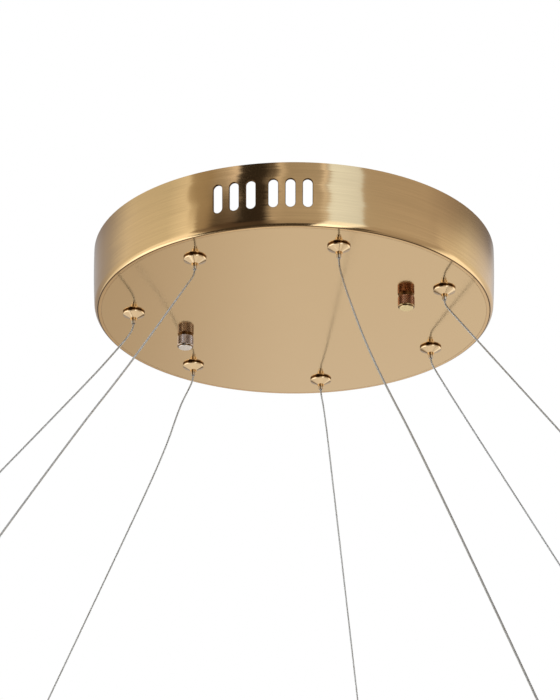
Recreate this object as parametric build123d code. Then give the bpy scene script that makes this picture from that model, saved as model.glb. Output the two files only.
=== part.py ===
from build123d import *
import math
import os

# Canopy of a wire-hung ring chandelier. Millimetres, +Z up.
# The origin is the middle of the ceiling face, so the canopy hangs below z = 0.

# Canopy drum: a wall flared to the ceiling and rolled in at its foot, with a flat disc flush in the lip
CANOPY_DIAMETER = 300.0
CANOPY_HEIGHT = 48.5
WALL_FLARE = 1.8
WALL_THICKNESS = 1.2
WALL_EDGE_RADIUS = 4.6
WALL_LIP = 5.2
PLATE_THICKNESS = 1.2
PLATE_SEAM = 0.05

# Vent slots: two groups on the front of the wall and the same again opposite
VENT_WIDTH = 6.8
VENT_HEIGHT = 21.8
VENT_PITCH = 12.1
VENT_GROUP_STEP = 15.9
VENTS_IN_GROUP = 3
VENT_GROUPS = 2
VENT_SIDES = 2
VENT_AZIMUTH = -75.4
VENT_MIDDLE_DROP = 23.8

# Ceiling bracket: a joggled flat bar
BRACKET_LENGTH = 206.0
BRACKET_WIDTH = 24.0
BRACKET_THICKNESS = 2.0
BRACKET_SEAT = 120.0
BRACKET_DROP = 7.0
BRACKET_RAMP = 9.0
BRACKET_CORNER = 6.0
BRACKET_BEND = 1.5
CEILING_SLOT_SPACING = 84.0
CEILING_SLOT_WIDTH = 5.2
CEILING_SLOT_LENGTH = 20.0
SUPPLY_HOLE = 14.0

# Hanger screws and the knurled thumb nuts that hold the canopy up
HANGER_SPACING = 180.8
HANGER_DIAMETER = 4.0
HANGER_HEAD_DIAMETER = 8.0
HANGER_HEAD_HEIGHT = 2.6
HANGER_HOLE_CLEARANCE = 0.25
HANGER_NUT_FLATS = 7.0
HANGER_NUT_HEIGHT = 3.2
THREAD_ENGAGEMENT = 5.2
THREAD_CLEARANCE = 0.05
NUT_WASHER_DIAMETER = 11.4
NUT_WASHER_THICKNESS = 0.8
THUMB_NUT_DIAMETER = 12.6
THUMB_NUT_LENGTH = 9.4
THUMB_NUT_COLLAR = 0.6
THUMB_NUT_CHAMFER = 1.2
THUMB_NUT_BORE_DEPTH = 7.4
KNURL_COUNT = 36
KNURL_DEPTH = 0.4

# Cable grippers on one circle
GRIPPER_COUNT = 7
GRIPPER_CIRCLE = 0.803 * CANOPY_DIAMETER
FLANGE_DIAMETER = 16.5
FLANGE_RIM = 1.6
FLANGE_EDGE = 0.7
CONE_DROP = 4.6
COLLAR_DIAMETER = 5.2
COLLAR_LENGTH = 1.8
SHANK_DIAMETER = 8.0
SHANK_LENGTH = 14.0
SHANK_CLEARANCE = 0.15
SHOULDER_DROP = 2.4
TIP_DIAMETER = 3.9
TIP_END_DIAMETER = 3.4
TIP_REACH = 2.6
TIP_LAND = 0.8
SLIDE_CLEARANCE = 0.1
HEAD_DIAMETER = 5.6
HEAD_LENGTH = 5.0
JAW_LENGTH = 3.2
JAW_SLIT = 0.5
JAW_CLEARANCE = 0.1
CABLE_CLEARANCE = 0.35
SPRING_LENGTH = 6.4
SPRING_WALL = 0.7
CAP_DIAMETER = 8.0
CAP_HEIGHT = 2.0
GRIPPER_NUT_FLATS = 13.0
GRIPPER_NUT_HEIGHT = 4.0

# Cables, their crimped tails and their lower end fittings
CABLE_DIAMETER = 1.5
TAIL_LENGTH = 5.0
SLEEVE_DIAMETER = 4.0
SLEEVE_LENGTH = 10.0
SLEEVE_CLEARANCE = 0.1
END_DIAMETER = 6.0
END_LENGTH = 12.0
END_NOSE_DIAMETER = 3.2
END_NOSE_LENGTH = 3.0
END_BORE_DEPTH = 8.0
END_CLEARANCE = 0.05
END_STUD_DIAMETER = 4.0
END_STUD_LENGTH = 8.0
WIRED_GRIPPERS = (1, 2)

# Route of each cable below its gripper: outwards, sideways, down from the plate
CABLE_ROUTES = (
    ((0, 0, 12.5), (4.5, 0, 19), (93, 0, 140.5)),
    ((0, 0, 12.5), (5, 0, 20), (28.8, 0, 51.8), (121.8, 0, 172)),
    ((0, 0, 12.5), (6, -1, 20), (30, -1.7, 50), (176, -1.7, 228)),
    ((0, 0, 12.5), (4.5, 0, 18.5), (16, 0, 30), (35, 0, 65), (91.5, 0, 132.7), (191.6, 0, 250)),
    ((0, 0, 12.5), (3.2, 0, 19), (14.2, 0, 34), (33.7, 0, 59), (105.4, 0, 144.5)),
    ((0, 0, 12.5), (5, 0, 20), (70.2, 0, 111), (122.2, 0, 178), (196.4, 0, 281)),
    ((0, 0, 12.5), (2.2, 0, 19), (17.2, 0, 43), (74.6, 0, 120), (187.2, 0, 240), (363.5, 0, 446)),
)

# Driver box and terminal block, each on foam pads inside the canopy
PAD_THICKNESS = 1.0
PAD_INSET = 3.0
DRIVER_LENGTH = 128.0
DRIVER_WIDTH = 40.0
DRIVER_HEIGHT = 22.0
DRIVER_COVER = 3.0
DRIVER_COVER_LIP = 1.2
DRIVER_COVER_CLEARANCE = 0.15
DRIVER_WALL = 1.6
DRIVER_CORNER = 3.0
DRIVER_OFFSET_Y = 66.0
DRIVER_RIB_PITCH = 8.0
DRIVER_RIB_WIDTH = 3.0
DRIVER_RIB_DEPTH = 0.8
TERMINAL_X = -8.0
TERMINAL_Y = -40.0
TERMINAL_LENGTH = 18.0
TERMINAL_PITCH = 10.0
TERMINAL_WAYS = 3
TERMINAL_BASE = 8.5
TERMINAL_TOWER = 6.0
TERMINAL_TOWER_WIDTH = 7.0
TERMINAL_SCREW_DIAMETER = 3.0
TERMINAL_SCREW_SPACING = 9.0
TERMINAL_SCREW_CLEARANCE = 0.1
TERMINAL_SCREW_SLOT = 0.6

# Leads between the driver, the terminal block, the earth post and two cables
LEAD_DIAMETER = 2.2
LEAD_CLEARANCE = 0.2
LEAD_ENTRY = 5.0
LEAD_SPACING = 10.0
LEAD_HEIGHT = 5.0
LEAD_STRAIGHT = 19.0
LEAD_RISE = 14.0

# Where the supply leads lie on the plate, in shares of the canopy's radius
LIVE_WAY = ((-0.6, 0.36), (-0.573, 0.213), (-0.44, 0), (-0.333, -0.2))
NEUTRAL_WAY = ((-0.527, 0.32), (-0.5, 0.2), (-0.36, 0), (-0.293, -0.133))

# Where the output leads hang, in shares of the canopy's radius and of its height
POSITIVE_WAY = ((0.56, 0.587, -0.176), (0.627, 0.507, -0.216), (0.647, 0.453, -0.431), (0.613, 0.44, -0.686))
NEGATIVE_WAY = ((0.78, 0.06, -0.176), (0.72, 0.133, -0.196), (0.673, 0.207, -0.412), (0.633, 0.293, -0.667))

# Earth post welded to the plate, with a ring lug and nut
EARTH_X = -68.0
EARTH_Y = -62.0
EARTH_POST_DIAMETER = 4.0
EARTH_POST_LENGTH = 9.0
LUG_DIAMETER = 8.0
LUG_THICKNESS = 0.8
LUG_BARREL_LENGTH = 7.0
LUG_BARREL_WALL = 0.5
LUG_REACH = 6.0
EARTH_NUT_FLATS = 7.0
EARTH_NUT_HEIGHT = 3.2

# Levels that several pieces share
GROUNDED = (Align.CENTER, Align.CENTER, Align.MIN)
PLATE_BOTTOM = -CANOPY_HEIGHT
PLATE_TOP = PLATE_BOTTOM + PLATE_THICKNESS
WALL_INNER = CANOPY_DIAMETER / 2 - WALL_THICKNESS
LIP_INNER = CANOPY_DIAMETER / 2 - WALL_LIP
BRACKET_END_TOP = -BRACKET_DROP
BRACKET_END_BOTTOM = BRACKET_END_TOP - BRACKET_THICKNESS
CABLE_WAY = CABLE_DIAMETER / 2 + CABLE_CLEARANCE
CHAMBER_RADIUS = HEAD_DIAMETER / 2 + SLIDE_CLEARANCE
COLLAR_BOTTOM = -CONE_DROP - COLLAR_LENGTH
TIP_END = COLLAR_BOTTOM - TIP_REACH
HEAD_TOP = HEAD_LENGTH - SHOULDER_DROP
SPRING_TOP = HEAD_TOP + SPRING_LENGTH
CAP_TOP = SHANK_LENGTH + CAP_HEIGHT
PAD_TOP = PLATE_TOP + PAD_THICKNESS
LEAD_LEVEL = PAD_TOP + LEAD_HEIGHT
DRIVER_END = DRIVER_LENGTH / 2
TERMINAL_ENTRY_X = TERMINAL_X - TERMINAL_LENGTH / 2


def turned(*profile):
    """A solid turned about Z from (radius, height) points."""
    outline = Plane.XZ * make_face(Polyline(*profile, close=True))
    return revolve(outline, Axis.Z)


def tube(outer, inner, bottom, top):
    """A plain round sleeve on the Z axis."""
    return turned((inner, bottom), (outer, bottom), (outer, top), (inner, top))


def hex_nut(flats, bore, bottom, height):
    """A hexagon nut on the Z axis."""
    blank = RegularPolygon(flats / 2, 6, major_radius=False) - Circle(bore)
    return Pos(0, 0, bottom) * extrude(blank, height)


def gripper_place(index):
    """Where a gripper's axis meets the underside of the plate."""
    turn = 360 / GRIPPER_COUNT * index
    return Rot(0, 0, turn) * Pos(GRIPPER_CIRCLE / 2, 0, PLATE_BOTTOM)


def hanger_places(level):
    """Both hanger axes, left then right, at one height."""
    return [Pos(side * HANGER_SPACING / 2, 0, level) for side in (-1, 1)]


def corner_radii(points):
    """The largest even bend at each corner of a route: 0.45 of its shorter run."""
    radii = []
    for before, corner, after in zip(points, points[1:], points[2:]):
        run_in = corner - before
        run_out = after - corner
        half_turn = math.radians(run_in.get_angle(run_out)) / 2
        radii.append(0.45 * min(run_in.length, run_out.length) / math.tan(half_turn))
    return radii


def cord(name, points, diameter):
    """A round cord along straight runs joined by tangent arcs."""
    points = [Vector(*point) for point in points]
    radii = corner_radii(points)
    path = FilletPolyline(*points, radius=radii)
    start = Plane(origin=points[0], z_dir=points[1] - points[0])
    solid = sweep(start * Circle(diameter / 2), path)
    filled = solid.volume / (math.pi * diameter**2 / 4 * path.length)
    bends = [round(radius, 1) for radius in radii]
    print(name, "length", round(path.length, 1), "bends", bends, "fill", round(filled, 4))
    return solid


def save(name, *solids):
    """Write one node: a single solid, or a group of like solids."""
    shape = solids[0] if len(solids) == 1 else Compound(children=list(solids))
    export_step(shape, f"parts/{name}.step")


# Canopy wall and plate

def vent_angles():
    """Azimuth of every vent slot."""
    group_step = (VENTS_IN_GROUP - 1) * VENT_PITCH + VENT_GROUP_STEP
    angles = []
    for side in range(VENT_SIDES):
        for group in range(VENT_GROUPS):
            for slot in range(VENTS_IN_GROUP):
                along = (group - (VENT_GROUPS - 1) / 2) * group_step
                along += (slot - (VENTS_IN_GROUP - 1) / 2) * VENT_PITCH
                turn = math.degrees(along / (CANOPY_DIAMETER / 2))
                angles.append(VENT_AZIMUTH + 360 / VENT_SIDES * side + turn)
    return angles


def canopy_wall():
    """The flared band, rolled inwards to a lip along its foot and pierced by the vents."""
    outer = CANOPY_DIAMETER / 2
    wall = turned(
        (outer + WALL_FLARE, 0),
        (outer, -CANOPY_HEIGHT),
        (LIP_INNER, -CANOPY_HEIGHT),
        (LIP_INNER, PLATE_TOP),
        (WALL_INNER, PLATE_TOP),
        (WALL_INNER + WALL_FLARE, 0),
    )
    rings = wall.edges().filter_by(GeomType.CIRCLE).group_by(Axis.Z)
    wall = fillet(rings[1].sort_by(SortBy.RADIUS)[-1], WALL_EDGE_RADIUS - WALL_THICKNESS)
    rings = wall.edges().filter_by(GeomType.CIRCLE).group_by(Axis.Z)
    wall = fillet(rings[0].sort_by(SortBy.RADIUS)[-1], WALL_EDGE_RADIUS)
    for angle in vent_angles():
        outward = Vector(1, 0, 0).rotate(Axis.Z, angle)
        face = Plane(origin=(0, 0, -VENT_MIDDLE_DROP), x_dir=(0, 0, 1), z_dir=outward)
        wall -= extrude(face * SlotOverall(VENT_HEIGHT, VENT_WIDTH), CANOPY_DIAMETER)
    return wall


def canopy_plate():
    """The flat disc inside the lip, drilled for grippers and screws."""
    disc = tube(LIP_INNER - PLATE_SEAM, 0, PLATE_BOTTOM, PLATE_TOP)
    shank_hole = Cylinder(SHANK_DIAMETER / 2 + SHANK_CLEARANCE, 4 * PLATE_THICKNESS)
    hanger_hole = Cylinder(HANGER_DIAMETER / 2 + HANGER_HOLE_CLEARANCE, 4 * PLATE_THICKNESS)
    disc -= [gripper_place(index) * shank_hole for index in range(GRIPPER_COUNT)]
    return disc - [place * hanger_hole for place in hanger_places(PLATE_BOTTOM)]


# Ceiling bracket and what hangs the canopy from it

def ceiling_bracket():
    """A flat bar whose ends are joggled down to clear the screw heads."""
    seat = BRACKET_SEAT / 2
    end = BRACKET_LENGTH / 2
    ramp_end = seat + BRACKET_RAMP
    miter = BRACKET_THICKNESS * math.tan(math.atan2(BRACKET_DROP, BRACKET_RAMP) / 2)
    half = [
        (seat, 0),
        (ramp_end, BRACKET_END_TOP),
        (end, BRACKET_END_TOP),
        (end, BRACKET_END_BOTTOM),
        (ramp_end - miter, BRACKET_END_BOTTOM),
        (seat - miter, -BRACKET_THICKNESS),
    ]
    other_half = [(-x, z) for x, z in reversed(half)]
    profile = Plane.XZ * make_face(Polyline(*half, *other_half, close=True))
    bar = extrude(profile, BRACKET_WIDTH / 2, both=True)
    corners = bar.edges().filter_by(Axis.Z)
    bar = fillet(corners, BRACKET_CORNER)
    reach = ramp_end + BRACKET_THICKNESS
    bends = bar.edges().filter_by(Axis.Y).filter_by_position(Axis.X, -reach, reach)
    bar = fillet(bends, BRACKET_BEND)
    slot = SlotOverall(CEILING_SLOT_LENGTH, CEILING_SLOT_WIDTH)
    for side in (-1, 1):
        bar -= Pos(side * CEILING_SLOT_SPACING / 2, 0, 0) * extrude(slot, CANOPY_HEIGHT, both=True)
    hanger_hole = Cylinder(HANGER_DIAMETER / 2 + HANGER_HOLE_CLEARANCE, CANOPY_HEIGHT)
    bar -= [place * hanger_hole for place in hanger_places(0)]
    return bar - Cylinder(SUPPLY_HOLE / 2, CANOPY_HEIGHT)


def hanger_screw():
    """A pan-head screw from the bracket end down into the thumb nut."""
    end = PLATE_BOTTOM - NUT_WASHER_THICKNESS - THREAD_ENGAGEMENT
    radius = HANGER_DIAMETER / 2
    head = HANGER_HEAD_DIAMETER / 2
    screw = turned(
        (0, end),
        (radius, end),
        (radius, BRACKET_END_TOP),
        (head, BRACKET_END_TOP),
        (head, BRACKET_END_TOP + HANGER_HEAD_HEIGHT),
        (0, BRACKET_END_TOP + HANGER_HEAD_HEIGHT),
    )
    rim = screw.edges().filter_by(GeomType.CIRCLE).group_by(Axis.Z)[-1]
    return fillet(rim, HANGER_HEAD_HEIGHT / 2)


def nut_washer():
    """The plain washer between the plate and a thumb nut."""
    bore = HANGER_DIAMETER / 2 + HANGER_HOLE_CLEARANCE
    return tube(NUT_WASHER_DIAMETER / 2, bore, -NUT_WASHER_THICKNESS, 0)


def thumb_nut():
    """A closed cap nut: thin plain collar, fluted grip, chamfered blind end."""
    radius = THUMB_NUT_DIAMETER / 2
    bore = HANGER_DIAMETER / 2 + THREAD_CLEARANCE
    grip = radius - KNURL_DEPTH
    nut = turned(
        (bore, 0),
        (grip, 0),
        (grip, -THUMB_NUT_COLLAR),
        (radius, -THUMB_NUT_COLLAR),
        (radius, THUMB_NUT_CHAMFER - THUMB_NUT_LENGTH),
        (radius - THUMB_NUT_CHAMFER, -THUMB_NUT_LENGTH),
        (0, -THUMB_NUT_LENGTH),
        (0, -THUMB_NUT_BORE_DEPTH),
        (bore, -THUMB_NUT_BORE_DEPTH),
    )
    groove_width = math.pi * radius / KNURL_COUNT
    groove = Polygon((0, 0), (2 * KNURL_DEPTH, groove_width), (2 * KNURL_DEPTH, -groove_width), align=None)
    cutter = extrude(Pos(grip, 0, -THUMB_NUT_LENGTH) * groove, THUMB_NUT_LENGTH)
    return nut - [Rot(0, 0, 360 / KNURL_COUNT * turn) * cutter for turn in range(KNURL_COUNT)]


# Cable gripper

def gripper_body():
    """Cone flange with a beaded rim below the plate and a bored shank above it."""
    guide = TIP_DIAMETER / 2 + SLIDE_CLEARANCE
    flange = FLANGE_DIAMETER / 2
    shank = SHANK_DIAMETER / 2
    body = turned(
        (guide, COLLAR_BOTTOM),
        (COLLAR_DIAMETER / 2, COLLAR_BOTTOM),
        (COLLAR_DIAMETER / 2, -CONE_DROP),
        (flange, -FLANGE_RIM),
        (flange, 0),
        (shank, 0),
        (shank, SHANK_LENGTH),
        (CHAMBER_RADIUS, SHANK_LENGTH),
        (CHAMBER_RADIUS, -SHOULDER_DROP),
        (guide, -SHOULDER_DROP),
    )
    edges = body.edges().filter_by(GeomType.CIRCLE).filter_by_position(Axis.Z, -FLANGE_RIM, 0)
    rim = edges.group_by(SortBy.RADIUS)[-1]
    return fillet(rim, FLANGE_EDGE)


def gripper_plunger():
    """The release plunger: a tapered tip below and split jaws above."""
    jaw = CABLE_DIAMETER / 2 + JAW_CLEARANCE
    jaw_bottom = HEAD_TOP - JAW_LENGTH
    plunger = turned(
        (CABLE_WAY, TIP_END),
        (TIP_END_DIAMETER / 2, TIP_END),
        (TIP_DIAMETER / 2, COLLAR_BOTTOM - TIP_LAND),
        (TIP_DIAMETER / 2, -SHOULDER_DROP),
        (HEAD_DIAMETER / 2, -SHOULDER_DROP),
        (HEAD_DIAMETER / 2, HEAD_TOP),
        (jaw, HEAD_TOP),
        (jaw, jaw_bottom),
        (CABLE_WAY, jaw_bottom),
    )
    slit = Pos(0, 0, HEAD_TOP) * Box(HEAD_DIAMETER * 2, JAW_SLIT, JAW_LENGTH * 2)
    return plunger - slit - Rot(0, 0, 90) * slit


def gripper_spring():
    """The plain sleeve that the return spring fills."""
    outer = CHAMBER_RADIUS - SLIDE_CLEARANCE
    return tube(outer, outer - SPRING_WALL, HEAD_TOP, SPRING_TOP)


def gripper_cap():
    """The plug that closes the shank over the spring."""
    spigot = CHAMBER_RADIUS - SLIDE_CLEARANCE
    return turned(
        (CABLE_WAY, SPRING_TOP),
        (spigot, SPRING_TOP),
        (spigot, SHANK_LENGTH),
        (CAP_DIAMETER / 2, SHANK_LENGTH),
        (CAP_DIAMETER / 2, CAP_TOP),
        (CABLE_WAY, CAP_TOP),
    )


def gripper_nut():
    """The hexagon nut that clamps a gripper to the plate."""
    bore = SHANK_DIAMETER / 2 + SHANK_CLEARANCE
    return hex_nut(GRIPPER_NUT_FLATS, bore, PLATE_THICKNESS, GRIPPER_NUT_HEIGHT)


# Cables

def cable_sleeve(wired):
    """The crimp on a cable's tail, bored out above for a lead where it is wired."""
    outer = SLEEVE_DIAMETER / 2
    low = CABLE_DIAMETER / 2 + SLEEVE_CLEARANCE
    high = LEAD_DIAMETER / 2 + SLEEVE_CLEARANCE
    step = CAP_TOP + TAIL_LENGTH
    top = CAP_TOP + SLEEVE_LENGTH
    sleeve = tube(outer, low, CAP_TOP, top)
    if wired:
        sleeve -= tube(high, 0, step, top)
    return sleeve


def cable_points(index):
    """A cable's route from its tail above the gripper to its lower end."""
    place = gripper_place(index)
    local = [(0, 0, CAP_TOP + TAIL_LENGTH)]
    local += [(out, side, -down) for out, side, down in CABLE_ROUTES[index]]
    return [(place * Pos(*point)).position for point in local]


def cable_end(points):
    """The turned barrel on a cable's lower end, with its threaded stud."""
    bore = CABLE_DIAMETER / 2 + END_CLEARANCE
    barrel = END_DIAMETER / 2
    stud = END_STUD_DIAMETER / 2
    fitting = turned(
        (bore, 0),
        (END_NOSE_DIAMETER / 2, 0),
        (barrel, END_NOSE_LENGTH),
        (barrel, END_LENGTH),
        (stud, END_LENGTH),
        (stud, END_LENGTH + END_STUD_LENGTH),
        (0, END_LENGTH + END_STUD_LENGTH),
        (0, END_BORE_DEPTH),
        (bore, END_BORE_DEPTH),
    )
    along = (points[-1] - points[-2]).normalized()
    nose = Plane(origin=points[-1] - along * END_BORE_DEPTH, z_dir=along)
    stud_base = nose.origin + along * END_LENGTH
    print("stud base", [round(value, 3) for value in stud_base])
    print("stud direction", [round(value, 5) for value in along])
    return nose.location * fitting


# Driver, terminal block and pads

def driver_outline(inset):
    """The driver's rounded rectangle, drawn in by an inset."""
    corner = DRIVER_CORNER - inset
    return RectangleRounded(DRIVER_LENGTH - 2 * inset, DRIVER_WIDTH - 2 * inset, corner)


def driver_case():
    """The potted tray: filled inside, with a rebate for the cover and a hole for each lead."""
    lip = DRIVER_COVER_LIP
    case = extrude(driver_outline(0), DRIVER_HEIGHT)
    case -= Pos(0, 0, DRIVER_HEIGHT - lip) * extrude(driver_outline(DRIVER_WALL), lip)
    hole = Rot(0, 90, 0) * Cylinder(LEAD_DIAMETER / 2 + LEAD_CLEARANCE, 2 * LEAD_ENTRY)
    for end in (-1, 1):
        for row in (-1, 1):
            case -= Pos(end * DRIVER_END, row * LEAD_SPACING / 2, LEAD_HEIGHT) * hole
    return Pos(0, DRIVER_OFFSET_Y, PAD_TOP) * case


def driver_cover():
    """The snap-on lid, ribbed across its top."""
    lip_inset = DRIVER_WALL + DRIVER_COVER_CLEARANCE
    cover = extrude(driver_outline(0), DRIVER_COVER)
    cover = fillet(cover.faces().sort_by(Axis.Z)[-1].edges(), DRIVER_COVER / 3)
    cover += Pos(0, 0, -DRIVER_COVER_LIP) * extrude(driver_outline(lip_inset), DRIVER_COVER_LIP)
    groove = Box(DRIVER_RIB_WIDTH, DRIVER_WIDTH - 4 * DRIVER_CORNER, 2 * DRIVER_RIB_DEPTH)
    count = int((DRIVER_LENGTH - 6 * DRIVER_CORNER) / DRIVER_RIB_PITCH)
    for row in range(count):
        x = (row - (count - 1) / 2) * DRIVER_RIB_PITCH
        cover -= Pos(x, 0, DRIVER_COVER) * groove
    return Pos(0, DRIVER_OFFSET_Y, PAD_TOP + DRIVER_HEIGHT) * cover


def terminal_ways():
    """Offset of each way across the terminal block."""
    return [(TERMINAL_WAYS // 2 - way) * TERMINAL_PITCH for way in range(TERMINAL_WAYS)]


def terminal_screw_places():
    """Two screws over each way, measured at the lead's level."""
    return [
        Pos(TERMINAL_X + side * TERMINAL_SCREW_SPACING / 2, TERMINAL_Y + way, LEAD_LEVEL)
        for way in terminal_ways()
        for side in (-1, 1)
    ]


def terminal_block():
    """A strip of screw terminals: a base bored along X and a tower over each way."""
    width = TERMINAL_WAYS * TERMINAL_PITCH
    block = Box(TERMINAL_LENGTH, width, TERMINAL_BASE, align=GROUNDED)
    block = fillet(block.edges().filter_by(Axis.Z), TERMINAL_PITCH / 8)
    tower_size = (TERMINAL_LENGTH * 0.85, TERMINAL_TOWER_WIDTH)
    tower = extrude(RectangleRounded(*tower_size, TERMINAL_TOWER_WIDTH / 3), TERMINAL_TOWER)
    bore = Rot(0, 90, 0) * Cylinder(LEAD_DIAMETER / 2 + LEAD_CLEARANCE, 2 * TERMINAL_LENGTH)
    for way in terminal_ways():
        block += Pos(0, way, TERMINAL_BASE) * tower
    for way in terminal_ways():
        block -= Pos(0, way, LEAD_HEIGHT) * bore
    block = Pos(TERMINAL_X, TERMINAL_Y, PAD_TOP) * block
    shaft = Cylinder(TERMINAL_SCREW_DIAMETER / 2 + TERMINAL_SCREW_CLEARANCE, CANOPY_HEIGHT, align=GROUNDED)
    return block - [place * shaft for place in terminal_screw_places()]


def terminal_screw():
    """A slotted clamp screw, down onto the lead and sunk in its tower."""
    bottom = LEAD_DIAMETER / 2 + LEAD_CLEARANCE
    top = TERMINAL_BASE + TERMINAL_TOWER - LEAD_HEIGHT - TERMINAL_SCREW_SLOT
    screw = tube(TERMINAL_SCREW_DIAMETER / 2, 0, bottom, top)
    slot = Box(2 * TERMINAL_SCREW_DIAMETER, TERMINAL_SCREW_SLOT, 2 * TERMINAL_SCREW_SLOT)
    return screw - Pos(0, 0, top) * slot


def mounting_pads():
    """Two foam pads under the driver and one under the terminal block."""
    pad_length = DRIVER_LENGTH / 4
    driver_pad = Box(pad_length, DRIVER_WIDTH - 2 * PAD_INSET, PAD_THICKNESS, align=GROUNDED)
    reach = DRIVER_END - PAD_INSET - pad_length / 2
    pads = [Pos(side * reach, DRIVER_OFFSET_Y, PLATE_TOP) * driver_pad for side in (-1, 1)]
    width = TERMINAL_WAYS * TERMINAL_PITCH - 2 * PAD_INSET
    block_pad = Box(TERMINAL_LENGTH - 2 * PAD_INSET, width, PAD_THICKNESS, align=GROUNDED)
    return pads + [Pos(TERMINAL_X, TERMINAL_Y, PLATE_TOP) * block_pad]


# Earth connection and leads

def earth_post():
    """The plain stud welded to the plate, chamfered at its top."""
    post = Cylinder(EARTH_POST_DIAMETER / 2, EARTH_POST_LENGTH, align=GROUNDED)
    post = chamfer(post.edges().group_by(Axis.Z)[-1], EARTH_POST_DIAMETER / 8)
    return Pos(EARTH_X, EARTH_Y, PLATE_TOP) * post


def earth_lug():
    """A ring tongue on the earth post with a crimp barrel along +X."""
    barrel_inner = LEAD_DIAMETER / 2 + SLEEVE_CLEARANCE
    barrel_outer = barrel_inner + LUG_BARREL_WALL
    tongue = Circle(LUG_DIAMETER / 2)
    tongue += Pos(LUG_REACH / 2, 0) * Rectangle(LUG_REACH, barrel_outer)
    tongue -= Circle(EARTH_POST_DIAMETER / 2 + THREAD_CLEARANCE)
    lug = extrude(tongue, LUG_THICKNESS)
    barrel = Rot(0, 90, 0) * tube(barrel_outer, barrel_inner, 0, LUG_BARREL_LENGTH)
    lug += Pos(LUG_REACH, 0, barrel_outer) * barrel
    way = Rot(0, 90, 0) * Cylinder(barrel_inner, LUG_BARREL_LENGTH, align=GROUNDED)
    lug -= Pos(LUG_REACH, 0, barrel_outer) * way
    return Pos(EARTH_X, EARTH_Y, PLATE_TOP) * lug


def earth_nut():
    """The hexagon nut over the lug."""
    bore = EARTH_POST_DIAMETER / 2 + THREAD_CLEARANCE
    nut = hex_nut(EARTH_NUT_FLATS, bore, LUG_THICKNESS, EARTH_NUT_HEIGHT)
    return Pos(EARTH_X, EARTH_Y, PLATE_TOP) * nut


def lead_routes():
    """The route of each lead, tied to its two ends, in the canopy's frame."""
    near = DRIVER_OFFSET_Y - LEAD_SPACING / 2
    far = DRIVER_OFFSET_Y + LEAD_SPACING / 2
    inside = DRIVER_END - LEAD_ENTRY
    terminal_inside = TERMINAL_ENTRY_X + LEAD_ENTRY
    floor = PLATE_TOP + LEAD_DIAMETER / 2 + LEAD_CLEARANCE
    neutral, live, earth = [TERMINAL_Y + way for way in terminal_ways()]
    lug_level = PLATE_TOP + LEAD_DIAMETER / 2 + SLEEVE_CLEARANCE + LUG_BARREL_WALL
    lug_inside = EARTH_X + LUG_REACH
    crimp = PLATE_BOTTOM + CAP_TOP + TAIL_LENGTH
    first, second = [(gripper_place(wired - 1)).position for wired in WIRED_GRIPPERS]
    radius = CANOPY_DIAMETER / 2
    live_way = [(radius * x, radius * y, floor) for x, y in LIVE_WAY]
    neutral_way = [(radius * x, radius * y, floor) for x, y in NEUTRAL_WAY]
    positive_way = [(radius * x, radius * y, CANOPY_HEIGHT * z) for x, y, z in POSITIVE_WAY]
    negative_way = [(radius * x, radius * y, CANOPY_HEIGHT * z) for x, y, z in NEGATIVE_WAY]
    return {
        "live_lead": (
            (-inside, far, LEAD_LEVEL),
            (-inside - LEAD_STRAIGHT, far, LEAD_LEVEL),
            *live_way,
            (terminal_inside - LEAD_STRAIGHT, live, LEAD_LEVEL),
            (terminal_inside, live, LEAD_LEVEL),
        ),
        "neutral_lead": (
            (-inside, near, LEAD_LEVEL),
            (-inside - 0.7 * LEAD_STRAIGHT, near, LEAD_LEVEL),
            *neutral_way,
            (terminal_inside - LEAD_STRAIGHT, neutral, LEAD_LEVEL),
            (terminal_inside, neutral, LEAD_LEVEL),
        ),
        "earth_lead": (
            (lug_inside, EARTH_Y, lug_level),
            (lug_inside + LEAD_STRAIGHT, EARTH_Y, lug_level),
            (terminal_inside - LEAD_STRAIGHT, earth, LEAD_LEVEL),
            (terminal_inside, earth, LEAD_LEVEL),
        ),
        "positive_lead": (
            (second.X, second.Y, crimp),
            (second.X, second.Y, crimp + LEAD_RISE),
            *positive_way,
            (inside + 0.9 * LEAD_STRAIGHT, far, LEAD_LEVEL),
            (inside, far, LEAD_LEVEL),
        ),
        "negative_lead": (
            (first.X, first.Y, crimp),
            (first.X, first.Y, crimp + LEAD_RISE),
            *negative_way,
            (inside + LEAD_STRAIGHT, near, LEAD_LEVEL),
            (inside, near, LEAD_LEVEL),
        ),
    }


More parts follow.
